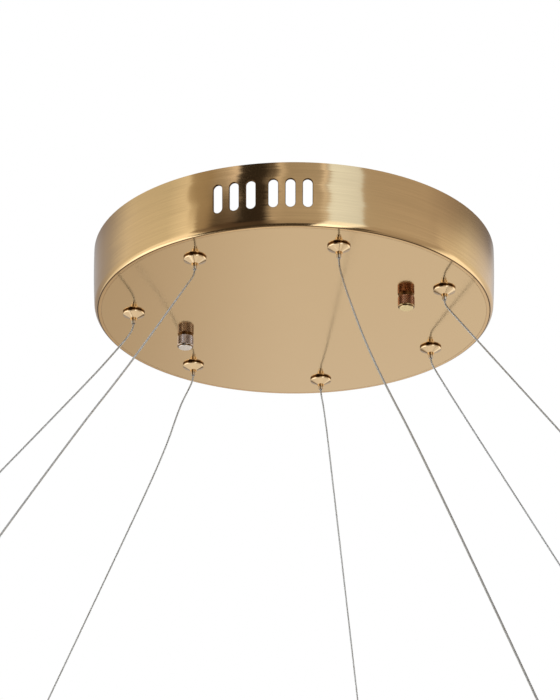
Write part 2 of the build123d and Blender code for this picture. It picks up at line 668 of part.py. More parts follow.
def write_parts():
    """Build every piece in place and write one file per node."""
    os.makedirs("parts", exist_ok=True)
    places = [gripper_place(index) for index in range(GRIPPER_COUNT)]
    wired = [number - 1 for number in WIRED_GRIPPERS]

    save("canopy_wall", canopy_wall())
    save("canopy_plate", canopy_plate())
    save("ceiling_bracket", ceiling_bracket())
    save("hanger_screws", *[place * hanger_screw() for place in hanger_places(0)])
    lock_nut = hex_nut(
        HANGER_NUT_FLATS,
        HANGER_DIAMETER / 2 + THREAD_CLEARANCE,
        BRACKET_END_BOTTOM - HANGER_NUT_HEIGHT,
        HANGER_NUT_HEIGHT,
    )
    save("hanger_nuts", *[place * lock_nut for place in hanger_places(0)])
    for side, place in zip(("left", "right"), hanger_places(PLATE_BOTTOM)):
        save(f"nut_washer_{side}", place * nut_washer())
        save(f"thumb_nut_{side}", place * Pos(0, 0, -NUT_WASHER_THICKNESS) * thumb_nut())

    for index, place in enumerate(places):
        number = index + 1
        points = cable_points(index)
        save(f"gripper_body_{number}", place * gripper_body())
        save(f"gripper_plunger_{number}", place * gripper_plunger())
        save(f"gripper_spring_{number}", place * gripper_spring())
        save(f"cable_{number}", cord(f"cable_{number}", points, CABLE_DIAMETER))
        save(f"cable_end_{number}", cable_end(points))
    save("gripper_caps", *[place * gripper_cap() for place in places])
    save("gripper_nuts", *[place * gripper_nut() for place in places])
    save("cable_sleeves", *[place * cable_sleeve(index in wired) for index, place in enumerate(places)])

    save("driver_case", driver_case())
    save("driver_cover", driver_cover())
    save("terminal_block", terminal_block())
    save("terminal_screws", *[place * terminal_screw() for place in terminal_screw_places()])
    save("mounting_pads", *mounting_pads())
    save("earth_post", earth_post())
    save("earth_lug", earth_lug())
    save("earth_nut", earth_nut())
    for name, route in lead_routes().items():
        save(name, cord(name, route, LEAD_DIAMETER))


write_parts()
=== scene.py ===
"""Dresses a packed chandelier canopy: finishes, stranded cables, knurled nuts, springs, leads and studio."""

import math

import bpy
from mathutils import Matrix, Quaternion, Vector


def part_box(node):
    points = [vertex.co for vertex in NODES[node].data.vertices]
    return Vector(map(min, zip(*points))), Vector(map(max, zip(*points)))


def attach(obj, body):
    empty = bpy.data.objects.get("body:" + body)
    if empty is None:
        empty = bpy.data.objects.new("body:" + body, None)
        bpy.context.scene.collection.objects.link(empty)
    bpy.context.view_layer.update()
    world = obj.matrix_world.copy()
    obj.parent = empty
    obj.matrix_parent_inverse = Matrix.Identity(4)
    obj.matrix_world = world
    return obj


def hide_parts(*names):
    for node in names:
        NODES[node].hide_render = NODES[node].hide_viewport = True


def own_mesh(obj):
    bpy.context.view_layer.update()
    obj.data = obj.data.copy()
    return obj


bl_info = {
    "name": "Chandelier canopy",
    "version": (1, 0, 0),
    "blender": (4, 5, 0),
    "location": "View3D > Sidebar > Canopy",
    "description": "Finishes and fine detail for a cable-hung chandelier canopy",
    "category": "Object",
}

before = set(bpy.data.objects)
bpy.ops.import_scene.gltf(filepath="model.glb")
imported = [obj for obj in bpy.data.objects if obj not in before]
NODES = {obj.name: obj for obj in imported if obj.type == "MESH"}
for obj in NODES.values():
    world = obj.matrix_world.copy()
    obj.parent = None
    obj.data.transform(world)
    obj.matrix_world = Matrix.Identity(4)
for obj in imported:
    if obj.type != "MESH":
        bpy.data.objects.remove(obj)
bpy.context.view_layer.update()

# A millimetre in metres, the endings of names, and the height of the plate's underside
MM = 0.001
NUMBERS = range(1, 8)
SIDES = ("left", "right")
PLATE_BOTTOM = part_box("canopy_plate")[0].z

# Route of each cable at its gripper and below, in millimetres: outwards, sideways, down from the plate
CABLE_ROUTES = {
    1: ((0, 0, -21), (0, 0, 4.6), (0, 0, 12.5), (4.5, 0, 19), (93, 0, 140.5)),
    2: ((0, 0, -21), (0, 0, 3.5), (0, 0, 12.5), (5, 0, 20), (28.8, 0, 51.8), (121.8, 0, 172)),
    3: ((0, 0, -21), (0, 0, 2.8), (0, 0, 12.5), (6, -1, 20), (30, -1.7, 50), (176, -1.7, 228)),
    4: (
        (0, 0, -21), (0, 0, 5), (0, 0, 12.5), (4.5, 0, 18.5), (16, 0, 30), (35, 0, 65),
        (91.5, 0, 132.7), (191.6, 0, 250),
    ),
    5: (
        (0, 0, -21), (0, 0, 5.2), (0, 0, 12.5), (3.2, 0, 19), (14.2, 0, 34), (33.7, 0, 59),
        (105.4, 0, 144.5),
    ),
    6: ((0, 0, -21), (0, 0, 3.5), (0, 0, 12.5), (5, 0, 20), (70.2, 0, 111), (122.2, 0, 178), (196.4, 0, 281)),
    7: (
        (0, 0, -21), (0, 0, 5.6), (0, 0, 12.5), (2.2, 0, 19), (17.2, 0, 43), (74.6, 0, 120),
        (187.2, 0, 240), (363.5, 0, 446),
    ),
}
CABLE_STEPS_PER_LAY = 12

# Route of each lead inside the canopy, and the leads' sizes, in millimetres
LEAD_ROUTES = {
    "live_lead": (
        (-59, 71, -41.3), (-78, 71, -41.3), (-90, 54, -46), (-85.95, 31.95, -46),
        (-66, 0, -46), (-49.95, -30, -46), (-31, -40, -41.3), (-12, -40, -41.3),
    ),
    "neutral_lead": (
        (-59, 61, -41.3), (-72.3, 61, -41.3), (-79.05, 48, -46), (-75, 30, -46),
        (-54, 0, -46), (-43.95, -19.95, -46), (-31, -30, -41.3), (-12, -30, -41.3),
    ),
    "earth_lead": (
        (-62, -62, -45.6), (-43, -62, -45.6), (-31, -50, -41.3), (-12, -50, -41.3),
    ),
    "positive_lead": (
        (75.1, 94.17, -27.5), (75.1, 94.17, -13.5), (84, 88.05, -8.54), (94.05, 76.05, -10.48),
        (97.05, 67.95, -20.9), (91.95, 66, -33.27), (76.1, 71, -41.3), (59, 71, -41.3),
    ),
    "negative_lead": (
        (120.45, 0, -27.5), (120.45, 0, -13.5), (117, 9, -8.54), (108, 19.95, -9.51),
        (100.95, 31.05, -19.98), (94.95, 43.95, -32.35), (78, 61, -41.3), (59, 61, -41.3),
    ),
}
LEAD_DIAMETER = 2.2
LEAD_STEP = 0.9

# The photograph's camera
CAMERA_PLACE = (0.639, -1.4902, -0.8117)
CAMERA_HEADING = (-0.3999, 0.9165)
CAMERA_PITCH = 24.39
CAMERA_ROLL = 0.27
CAMERA_LENS = 122.21
CAMERA_SENSOR = 36.0

# The studio's floor and overhead softbox, in metres
FLOOR_RADIUS = 4.0
SOFTBOX_SIZE = (1.4, 1.0)
SOFTBOX_PLACE = (0.6, -0.9, 1.5)

# Studio light round the canopy: one ring of panels above another, from high to straight down.
# Each stop is degrees to the camera's right, then red, green and blue.
HIGH_LIGHT = (
    (-180, 0.34, 0.34, 0.36), (-140, 0.34, 0.32, 0.33), (-126, 0.47, 0.46, 0.46), (-105, 0.9, 0.93, 0.88),
    (-75, 0.88, 0.92, 0.88), (-62, 1.12, 1.17, 1.14), (-60.5, 0.55, 0.5, 0.4), (-49, 0.54, 0.49, 0.4),
    (-39, 0.92, 0.92, 0.92), (-33, 1.5, 1.5, 1.6), (-31.2, 0.045, 0.04, 0.035), (-17, 0.045, 0.04, 0.035),
    (-11.5, 0.14, 0.12, 0.1), (-8.6, 1.1, 1.1, 1.1), (-5, 0.56, 0.55, 0.52), (14, 0.62, 0.62, 0.62),
    (16, 1.4, 1.45, 1.55), (17.8, 0.66, 0.68, 0.72), (20, 1.3, 1.68, 2.25), (37.4, 1.14, 1.46, 1.95),
    (38.6, 0.66, 0.65, 0.64), (80, 0.66, 0.63, 0.6), (96, 0.5, 0.46, 0.44), (116, 0.32, 0.29, 0.27),
    (150, 0.2, 0.18, 0.18), (180, 0.34, 0.34, 0.36),
)
MIDDLE_LIGHT = (
    (-180, 0.5, 0.5, 0.52), (-140, 0.5, 0.49, 0.5), (-128, 0.58, 0.58, 0.58), (-108, 1.0, 1.03, 1.0),
    (-75, 1.0, 1.05, 1.0), (-57, 1.45, 1.53, 1.5), (-55, 0.52, 0.48, 0.4), (-50, 0.46, 0.4, 0.32),
    (-45, 0.12, 0.1, 0.08), (-36, 0.14, 0.11, 0.09), (-31, 0.04, 0.035, 0.03), (-17, 0.05, 0.04, 0.035),
    (-12.5, 0.78, 0.76, 0.74), (-8, 0.63, 0.61, 0.58), (14, 0.7, 0.69, 0.66), (18, 1.0, 1.05, 1.1),
    (20, 1.3, 1.68, 2.25), (37.4, 1.14, 1.46, 1.95), (38.6, 0.72, 0.72, 0.7), (60, 0.75, 0.73, 0.71),
    (84, 0.79, 0.77, 0.75), (90, 1.05, 1.05, 1.01), (112, 1.15, 1.2, 1.15), (130, 1.05, 1.07, 1.05),
    (150, 0.92, 0.9, 0.88), (180, 0.5, 0.5, 0.52),
)
LOW_LIGHT = (
    (-180, 0.98, 0.98, 0.98), (-176, 0.72, 0.67, 0.61), (-172, 0.68, 0.66, 0.62), (-167, 0.26, 0.22, 0.18),
    (-155, 0.26, 0.22, 0.18), (-148, 1.1, 1.15, 1.2), (-120, 1.4, 1.48, 1.5), (-60, 1.7, 1.78, 1.8),
    (-56, 0.4, 0.35, 0.3), (-42, 0.14, 0.11, 0.09), (-18, 0.09, 0.07, 0.06), (-10, 0.6, 0.57, 0.54),
    (14, 0.64, 0.61, 0.58), (18, 1.7, 2.0, 2.4), (37, 1.7, 2.0, 2.4), (40, 0.66, 0.63, 0.6),
    (84, 0.64, 0.61, 0.58), (92, 1.2, 1.25, 1.25), (98, 1.9, 2.0, 2.1), (128, 1.9, 2.0, 2.1),
    (148, 1.15, 1.2, 1.25), (155, 0.26, 0.22, 0.18), (167, 0.26, 0.22, 0.18), (172, 1.0, 1.0, 1.0),
    (180, 0.98, 0.98, 0.98),
)
DEEP_LIGHT = (
    (-180, 1.2, 1.17, 1.13), (-174, 1.2, 1.17, 1.13), (-167, 0.3, 0.26, 0.22), (-154, 0.3, 0.26, 0.22),
    (-145, 1.0, 1.0, 1.0), (-128, 1.0, 1.0, 1.0), (-120, 2.4, 2.7, 3.1), (-75, 2.6, 2.9, 3.3),
    (-69, 0.07, 0.06, 0.05), (14, 0.07, 0.06, 0.05), (18, 2.6, 2.9, 3.3), (37, 2.6, 2.9, 3.3),
    (41, 0.07, 0.06, 0.05), (50, 0.07, 0.06, 0.05), (60, 0.5, 0.47, 0.44), (118, 0.45, 0.42, 0.39),
    (128, 1.0, 1.0, 1.0), (145, 1.0, 1.0, 1.0), (154, 0.3, 0.26, 0.22), (167, 0.3, 0.26, 0.22),
    (174, 1.2, 1.17, 1.13), (180, 1.2, 1.17, 1.13),
)
NADIR_LIGHT = (1.05, 1.05, 1.05)
# Sine of the height of each ring's lower edge, by degrees to the camera's right
HIGH_EDGE = (
    (-180, 0.45), (-110, 0.45), (-95, 0.42), (-62, 0.38), (-53, 0.36), (-47, 0.405), (-43, 0.425),
    (-16, 0.42), (-8, 0.4), (84, 0.385), (95, 0.392), (116, 0.422), (150, 0.43), (180, 0.45),
)
MIDDLE_EDGE = (
    (-180, -0.2), (-115, -0.2), (-90, -0.1), (-62, -0.1), (-56, 0), (14, -0.02), (90, -0.02),
    (110, -0.2), (180, -0.2),
)
LOW_EDGE = (
    (-180, -0.6), (-160, -0.6), (-140, -0.4), (-95, -0.4), (-80, -0.6), (-56, -0.65), (14, -0.65),
    (140, -0.62), (160, -0.6), (180, -0.6),
)
# Rings from the lowest up, each over those before it: its light, its lower edge, the width of its fade,
# and whether its stops are opened out towards the camera
RINGS = (
    (DEEP_LIGHT, ((-180, -0.94), (180, -0.94)), 0.03, False),
    (LOW_LIGHT, LOW_EDGE, 0.1, False),
    (MIDDLE_LIGHT, MIDDLE_EDGE, 0.18, True),
    (HIGH_LIGHT, HIGH_EDGE, 0.03, True),
)

# Sockets of a Mix node that mixes colours
MIX_SHARE, MIX_FROM, MIX_WITH = 0, 6, 7
MIX_COLOUR = 2

# Nearly all of a cloudy pattern lies between these values
PATTERN_LOW, PATTERN_HIGH = 0.3, 0.7


def linear(code):
    """An sRGB hex colour as linear red, green, blue."""
    parts = [int(code[i : i + 2], 16) / 255 for i in (1, 3, 5)]
    return tuple(c / 12.92 if c <= 0.04045 else ((c + 0.055) / 1.055) ** 2.4 for c in parts)


# Shared modelling steps

def select_only(piece):
    """Leaves one object selected and active."""
    bpy.ops.object.select_all(action="DESELECT")
    piece.select_set(True)
    bpy.context.view_layer.objects.active = piece


def smooth(piece, degrees):
    """Smooth shading, except over edges sharper than an angle."""
    select_only(piece)
    bpy.ops.object.shade_smooth_by_angle(angle=math.radians(degrees))


def face_outwards(piece):
    """Merges a closed mesh's doubles and turns its faces outwards."""
    select_only(piece)
    bpy.ops.object.mode_set(mode="EDIT")
    bpy.ops.mesh.select_all(action="SELECT")
    bpy.ops.mesh.remove_doubles(threshold=1e-6)
    bpy.ops.mesh.normals_make_consistent(inside=False)
    bpy.ops.object.mode_set(mode="OBJECT")


def new_piece(name, points, edges, faces):
    """A mesh object at the origin, from points already in place."""
    mesh = bpy.data.meshes.new(name)
    mesh.from_pydata([tuple(point) for point in points], edges, faces)
    mesh.update()
    piece = bpy.data.objects.new(name, mesh)
    bpy.context.scene.collection.objects.link(piece)
    return piece


def mount(piece, body, slot, material, *nodes):
    """Puts a finished piece on its body, with its finish and the nodes that it stands for."""
    piece.data.materials.append(material)
    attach(piece, body)
    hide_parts(*nodes)


def finish_node(node, material):
    """Gives a carried-over node its material."""
    piece = NODES[node]
    if not piece.material_slots:
        piece.data.materials.append(material)
    for slot in piece.material_slots:
        slot.material = material


def lathe(name, profile, steps, centre):
    """Spins a profile of (radius, height) millimetres about a vertical axis."""
    points = [centre + Vector((radius, 0, height)) * MM for radius, height in profile]
    edges = [(index, index + 1) for index in range(len(points) - 1)]
    piece = new_piece(name, points, edges, [])
    select_only(piece)
    bpy.ops.object.mode_set(mode="EDIT")
    bpy.ops.mesh.select_all(action="SELECT")
    bpy.ops.mesh.spin(steps=steps, angle=2 * math.pi, center=centre, axis=(0, 0, 1))
    bpy.ops.object.mode_set(mode="OBJECT")
    face_outwards(piece)
    return piece


def node_middle(node):
    """The middle of a node's box."""
    low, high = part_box(node)
    return (low + high) / 2


def gripper_axis(number):
    """Where a gripper's axis meets the underside of the plate."""
    middle = node_middle(f"gripper_body_{number}")
    return Vector((middle.x, middle.y, PLATE_BOTTOM))


# Cords

def route_line(name, route, step):
    """Points read from the smooth spline of a route, none closer than a step."""
    curve = bpy.data.curves.new(name + "_route", "CURVE")
    curve.dimensions = "3D"
    spline = curve.splines.new("NURBS")
    spline.points.add(len(route) - 1)
    for point, place in zip(spline.points, route):
        point.co = (*place, 1)
    spline.order_u = 3
    spline.use_endpoint_u = True
    spline.resolution_u = 240
    guide = bpy.data.objects.new(name + "_route", curve)
    bpy.context.scene.collection.objects.link(guide)
    bpy.context.view_layer.update()
    mesh = bpy.data.meshes.new_from_object(guide.evaluated_get(bpy.context.evaluated_depsgraph_get()))
    places = [vertex.co.copy() for vertex in mesh.vertices]
    bpy.data.objects.remove(guide)
    bpy.data.curves.remove(curve)
    bpy.data.meshes.remove(mesh)
    line = [places[0]]
    for place in places[1:-1]:
        if (place - line[-1]).length >= step and (place - places[-1]).length >= step / 2:
            line.append(place)
    return line + [places[-1]]


def line_frames(line):
    """At each point of a line: how far along it is, and two steady side directions."""
    tangents = []
    for index in range(len(line)):
        ahead = line[min(index + 1, len(line) - 1)]
        behind = line[max(index - 1, 0)]
        tangents.append((ahead - behind).normalized())
    side = tangents[0].orthogonal().normalized()
    travelled = 0.0
    frames = []
    for index, tangent in enumerate(tangents):
        if index:
            travelled += (line[index] - line[index - 1]).length
            side = tangents[index - 1].rotation_difference(tangent) @ side
        side = (side - tangent * side.dot(tangent)).normalized()
        frames.append((travelled, side, tangent.cross(side)))
    return frames


def rod(line, frames, radius, sides, offset=0.0, turn=0.0, lay=1.0):
    """Points and faces of a round rod that winds about a line."""
    points = []
    for place, (travelled, side, up) in zip(line, frames):
        angle = turn + 2 * math.pi * travelled / lay
        centre = place + (side * math.cos(angle) + up * math.sin(angle)) * offset
        for corner in range(sides):
            around = angle + 2 * math.pi * corner / sides
            points.append(centre + (side * math.cos(around) + up * math.sin(around)) * radius)
    faces = []
    for ring in range(len(line) - 1):
        for corner in range(sides):
            first = ring * sides + corner
            second = ring * sides + (corner + 1) % sides
            faces.append((first, second, second + sides, first + sides))
    last = (len(line) - 1) * sides
    faces.append(tuple(reversed(range(sides))))
    faces.append(tuple(range(last, last + sides)))
    return points, faces


def join_rods(rods):
    """One list of points and one of faces from several rods."""
    points, faces = [], []
    for rod_points, rod_faces in rods:
        start = len(points)
        points += rod_points
        faces += [tuple(index + start for index in face) for face in rod_faces]
    return points, faces


# Materials

def add_node(tree, kind, values=None, links=None, **settings):
    """Adds a node with its settings, input values and links."""
    node = tree.nodes.new(kind)
    for name, value in settings.items():
        setattr(node, name, value)
    for socket, value in (values or {}).items():
        node.inputs[socket].default_value = value
    for socket, source in (links or {}).items():
        tree.links.new(source, node.inputs[socket])
    return node


def new_material(name, colour, **sockets):
    """A material with one surface shader, and the object coordinates that its patterns read."""
    material = bpy.data.materials.new(name)
    material.use_nodes = True
    tree = material.node_tree
    shader = tree.nodes["Principled BSDF"]
    shader.inputs["Base Color"].default_value = (*colour, 1)
    for socket, value in sockets.items():
        shader.inputs[socket.replace("_", " ")].default_value = value
    place = add_node(tree, "ShaderNodeTexCoord").outputs["Object"]
    return material, tree, shader, place


def set_ramp(ramp, stops):
    """Fills a colour ramp from (position, red, green, blue) stops."""
    elements = ramp.color_ramp.elements
    while len(elements) < len(stops):
        elements.new(1.0)
    for element, (position, *colour) in zip(elements, stops):
        element.position = position
        element.color = (*colour, 1)


def grain(tree, place, width, detail=2.0, stretch=(1, 1, 1)):
    """A cloudy pattern whose grains are about a width in millimetres, drawn out by a stretch."""
    drawn = add_node(
        tree, "ShaderNodeMapping", links={"Vector": place},
        values={"Scale": [1 / factor for factor in stretch]},
    )
    texture = add_node(
        tree, "ShaderNodeTexNoise", links={"Vector": drawn.outputs["Vector"]},
        values={"Scale": 1 / (width * MM), "Detail": detail},
    )
    return texture.outputs["Fac"]


def show_pattern(tree, shader, pattern, tint=None, roughness=None, relief=None):
    """Lets a pattern show in a finish: in its brightness, in its roughness and as a relief in millimetres."""
    if tint:
        colour = shader.inputs["Base Color"].default_value[:3]
        ramp = add_node(tree, "ShaderNodeValToRGB", links={"Fac": pattern})
        darker, lighter = [[c * factor for c in colour] for factor in tint]
        set_ramp(ramp, [(PATTERN_LOW, *darker), (PATTERN_HIGH, *lighter)])
        tree.links.new(ramp.outputs["Color"], shader.inputs["Base Color"])
    if roughness:
        spread = add_node(
            tree, "ShaderNodeMapRange", links={"Value": pattern},
            values={
                "From Min": PATTERN_LOW, "From Max": PATTERN_HIGH,
                "To Min": roughness[0], "To Max": roughness[1],
            },
        )
        tree.links.new(spread.outputs["Result"], shader.inputs["Roughness"])
    if relief:
        bump = add_node(
            tree, "ShaderNodeBump", links={"Height": pattern},
            values={"Strength": relief[0], "Distance": relief[1] * MM},
        )
        tree.links.new(bump.outputs["Normal"], shader.inputs["Normal"])


def height_bands(tree, place, bottom, top, stops):
    """Bands of colour up a piece, from stops between a bottom and a top."""
    height = add_node(tree, "ShaderNodeSeparateXYZ", links={"Vector": place}).outputs["Z"]
    share = add_node(
        tree, "ShaderNodeMapRange", links={"Value": height}, values={"From Min": bottom, "From Max": top}
    )
    ramp = add_node(tree, "ShaderNodeValToRGB", links={"Fac": share.outputs["Result"]})
    set_ramp(ramp, stops)
    return ramp.outputs["Color"]


def multiply_bands(tree, shader, bands):
    """Multiplies the pattern in a finish's colour by bands."""
    pattern = shader.inputs["Base Color"].links[0].from_socket
    mixed = add_node(
        tree, "ShaderNodeMix", data_type="RGBA", blend_type="MULTIPLY", values={MIX_SHARE: 1.0},
        links={MIX_FROM: pattern, MIX_WITH: bands},
    )
    tree.links.new(mixed.outputs[MIX_COLOUR], shader.inputs["Base Color"])


def brushed_brass(look):
    """Lacquered brass sheet, brushed round the drum: fine lines and slow waves fray its reflections."""
    material, tree, shader, place = new_material(
        "brushed_brass", look.wall_colour, Metallic=1.0, Roughness=0.13,
        Anisotropic=0.8, Anisotropic_Rotation=0.25,
    )
    tangent = add_node(tree, "ShaderNodeTangent", direction_type="RADIAL", axis="Z").outputs["Tangent"]
    tree.links.new(tangent, shader.inputs["Tangent"])
    # brush lines are about 0.1 mm apart, drawn 0.9 mm apart so that they show
    lines = grain(tree, place, 0.9, 3.0, (60, 60, 1))
    show_pattern(tree, shader, lines, tint=(0.95, 1.05))
    # painted shade darkens the fold where the foot turns into the lip, 0.05 to 0.35 mm up
    clear, shade = (1, 1, 1), (0.25, 0.22, 0.2)
    multiply_bands(tree, shader, height_bands(
        tree, place, PLATE_BOTTOM, PLATE_BOTTOM + 0.6 * MM,
        [(0.04, *clear), (0.08, *shade), (0.58, *shade), (0.75, *clear)],
    ))
    # rolled sheet is never quite true: slow waves about 12 mm high and 100 mm long
    waves = grain(tree, place, 12, 1.0, (8, 8, 1))
    line_lean = add_node(
        tree, "ShaderNodeMath", operation="MULTIPLY_ADD", links={0: lines},
        values={1: look.brush_lean, 2: -(look.brush_lean + look.wave_lean) / 2},
    )
    lean = add_node(
        tree, "ShaderNodeMath", operation="MULTIPLY_ADD", links={0: waves, 2: line_lean.outputs[0]},
        values={1: look.wave_lean},
    )
    slope = add_node(
        tree, "ShaderNodeVectorMath", operation="SCALE", links={0: tangent, "Scale": lean.outputs[0]}
    )
    facing = add_node(tree, "ShaderNodeNewGeometry").outputs["Normal"]
    leaning = add_node(
        tree, "ShaderNodeVectorMath", operation="ADD", links={0: facing, 1: slope.outputs["Vector"]}
    )
    level = add_node(
        tree, "ShaderNodeVectorMath", operation="NORMALIZE", links={0: leaning.outputs["Vector"]}
    )
    tree.links.new(level.outputs["Vector"], shader.inputs["Normal"])
    return material


def polished_brass(look):
    """Brass sheet buffed to a soft mirror, with a faint cloudiness left by the mop."""
    material, tree, shader, place = new_material(
        "polished_brass", look.plate_colour, Metallic=1.0, Roughness=0.095
    )
    show_pattern(tree, shader, grain(tree, place, 24, 3.0), roughness=(0.085, 0.11))
    return material


def turned_brass(look):
    """Turned and polished bar brass: bright, with faint tool rings, and painted shade where it meets the
    plate.
    """
    material, tree, shader, place = new_material(
        "turned_brass", look.gripper_colour, Metallic=1.0, Roughness=0.09
    )
    # tool marks are about 0.05 mm apart, drawn 0.25 mm apart so that they show
    rings = grain(tree, place, 0.25, 1.0, (40, 40, 1))
    show_pattern(tree, shader, rings, roughness=(0.06, 0.14), relief=(0.05, 0.02))
    # painted shade in the corner, from 0.8 mm below the plate up to it
    clean, corner_shade = look.gripper_colour, look.painted_shade_colour
    bands = height_bands(
        tree, place, PLATE_BOTTOM - 2 * MM, PLATE_BOTTOM + 2 * MM,
        [(0.2, *clean), (0.29, *corner_shade), (0.5, *corner_shade), (0.52, *clean)],
    )
    tree.links.new(bands, shader.inputs["Base Color"])
    return material


def knurled_metal(name, colour, end_highlight_colour, chamfer_and_seat_shade, base):
    """Knurled brass: painted shade in the chamfer and next to the seat, a painted highlight on the rim and on
    the end.
    """
    material, tree, shader, place = new_material(name, (1, 1, 1), Metallic=1.0, Roughness=0.28)
    show_pattern(tree, shader, grain(tree, place, 1.2, 4.0), tint=(0.85, 1.12), roughness=(0.34, 0.2))
    # the stops run from 10 mm below the nut's seat up to it: painted highlight on the end and the rim,
    # painted shade in the chamfer and at the seat
    multiply_bands(tree, shader, height_bands(tree, place, base - 10 * MM, base, [
        (0.066, *end_highlight_colour), (0.08, *chamfer_and_seat_shade), (0.165, *chamfer_and_seat_shade), (0.18, *end_highlight_colour),
        (0.2, *end_highlight_colour), (0.23, *colour), (0.94, *colour), (0.96, *chamfer_and_seat_shade),
    ]))
    return material


def plain_metal(name, colour, roughness, width):
    """Bare or plated metal, such as zinc plate, drawn wire or crimped tube, with a grain in millimetres."""
    material, tree, shader, place = new_material(name, colour, Metallic=1.0, Roughness=roughness)
    pattern = grain(tree, place, width, 3.0)
    rough = (roughness * 1.25, roughness * 0.8)
    show_pattern(tree, shader, pattern, tint=(0.88, 1.08), roughness=rough, relief=(0.15, 0.01))
    return material


def moulded_plastic(name, colour, roughness, width, depth):
    """Moulded plastic: an even colour, slightly waxy, with the mould's fine grain in millimetres."""
    material, tree, shader, place = new_material(name, colour, Roughness=roughness, IOR=1.53)
    show_pattern(tree, shader, grain(tree, place, width), tint=(0.96, 1.03), relief=(0.3, depth))
    return material


def closed_cell_foam(colour):
    """Black polyethylene foam: matt, with small closed cells open along the cut."""
    material, tree, shader, place = new_material("closed_cell_foam", colour, Roughness=0.9)
    cells = add_node(tree, "ShaderNodeTexVoronoi", links={"Vector": place}, values={"Scale": 1 / (0.6 * MM)})
    show_pattern(tree, shader, cells.outputs["Distance"], tint=(0.6, 1.3), relief=(0.5, 0.2))
    return material


class FinishSettings(bpy.types.PropertyGroup):
    """Colours of the canopy's metals, with painted shade and painted highlights, and how far the wall is from
    a true mirror.
    """

    wall_colour: bpy.props.FloatVectorProperty(
        name="Wall", description="Brushed brass of the wall", subtype="COLOR", default=linear("#c8a576")
    )
    plate_colour: bpy.props.FloatVectorProperty(
        name="Plate", description="Polished brass of the plate", subtype="COLOR", default=linear("#c8a97c")
    )
    gripper_colour: bpy.props.FloatVectorProperty(
        name="Grippers", description="Turned brass of the cable grippers",
        subtype="COLOR", default=linear("#d6b88f"),
    )
    # painted shade: the dark colour put where the grippers meet the plate, in the nuts' chamfers and seats,
    # on the washers and on the vents' cut edges
    painted_shade_colour: bpy.props.FloatVectorProperty(
        name="Tarnish", description="Darkened brass in the corners",
        subtype="COLOR", default=linear("#674a2d"),
    )
    # the two nuts are the same brass: the left is painted paler, as lit, and the right darker and redder, as
    # shaded
    left_nut_lit_brass_colour: bpy.props.FloatVectorProperty(
        name="Left nut", description="Pale metal of the left thumb nut",
        subtype="COLOR", default=linear("#b5a398"),
    )
    right_nut_shaded_brass_colour: bpy.props.FloatVectorProperty(
        name="Right nut", description="Bronzed metal of the right thumb nut",
        subtype="COLOR", default=linear("#98694c"),
    )
    # painted highlight: each nut's end and the rim above its chamfer are painted bright
    left_end_highlight_colour: bpy.props.FloatVectorProperty(
        name="Left nut's end", description="Worn end of the left thumb nut",
        subtype="COLOR", default=linear("#ddd3c8"),
    )
    right_end_highlight_colour: bpy.props.FloatVectorProperty(
        name="Right nut's end", description="Worn end of the right thumb nut",
        subtype="COLOR", default=linear("#dcc48f"),
    )
    brush_lean: bpy.props.FloatProperty(
        name="Brush lines", description="How far brush lines tip the wall's surface", default=0.045, min=0
    )
    wave_lean: bpy.props.FloatProperty(
        name="Slow waves", description="How far the sheet's waves tip the wall's surface", default=0.05, min=0
    )
    cable_colour: bpy.props.FloatVectorProperty(
        name="Cables", description="Bare steel of the cables", subtype="COLOR", default=linear("#d4d0ca")
    )


class WallSettings(bpy.types.PropertyGroup):
    """Shape of the wall and its vents."""

    thickness: bpy.props.FloatProperty(
        name="Thickness", description="Of the sheet", default=0.0012, unit="LENGTH", precision=5
    )
    flare: bpy.props.FloatProperty(
        name="Flare", description="How much wider the wall's radius is at the ceiling",
        default=0.0016, unit="LENGTH", precision=5,
    )
    bow: bpy.props.FloatProperty(
        name="Bow", description="How far the wall bows out half way up",
        default=0.0004, unit="LENGTH", precision=5,
    )
    foot_radius: bpy.props.FloatProperty(
        name="Foot", description="Radius of the roll at the foot of the wall",
        default=0.007, unit="LENGTH", precision=5,
    )
    fold_radius: bpy.props.FloatProperty(
        name="Fold", description="Radius where the roll turns into the lip",
        default=0.0016, unit="LENGTH", precision=5,
    )
    seam: bpy.props.FloatProperty(
        name="Seam", description="Gap between the plate and the lip",
        default=0.00015, unit="LENGTH", precision=5,
    )
    vent_width: bpy.props.FloatProperty(
        name="Vent width", description="Across a vent", default=0.0068, unit="LENGTH", precision=5
    )
    vent_height: bpy.props.FloatProperty(
        name="Vent height", description="From end to end of a vent",
        default=0.0218, unit="LENGTH", precision=5,
    )
    vent_edge: bpy.props.FloatProperty(
        name="Vent edge", description="Width of the edge that the punch turned in",
        default=0.0004, unit="LENGTH", precision=5,
    )
    vent_drop: bpy.props.FloatProperty(
        name="Vent drop", description="From the ceiling to the middle of a vent",
        default=0.0238, unit="LENGTH", precision=5,
    )
    vent_pitch: bpy.props.FloatProperty(
        name="Vent pitch", description="Between vents of a group", default=0.0121, unit="LENGTH", precision=5
    )
    vent_group_step: bpy.props.FloatProperty(
        name="Vent groups", description="Between the nearest vents of two groups",
        default=0.0159, unit="LENGTH", precision=5,
    )
    vent_azimuth: bpy.props.FloatProperty(
        name="Vent direction", description="Middle of the front vents",
        default=math.radians(-75.4), unit="ROTATION",
    )

    def vent_angles(self):
        """Azimuth of every vent, front and back."""
        drum_radius = 0.15
        places = [0, 1, 2]
        along = [self.vent_pitch * place for place in places]
        along += [self.vent_pitch * 2 + self.vent_group_step + self.vent_pitch * place for place in places]
        centre = (along[0] + along[-1]) / 2
        angles = []
        for turn in (0, math.pi):
            angles += [self.vent_azimuth + turn + (place - centre) / drum_radius for place in along]
        return angles


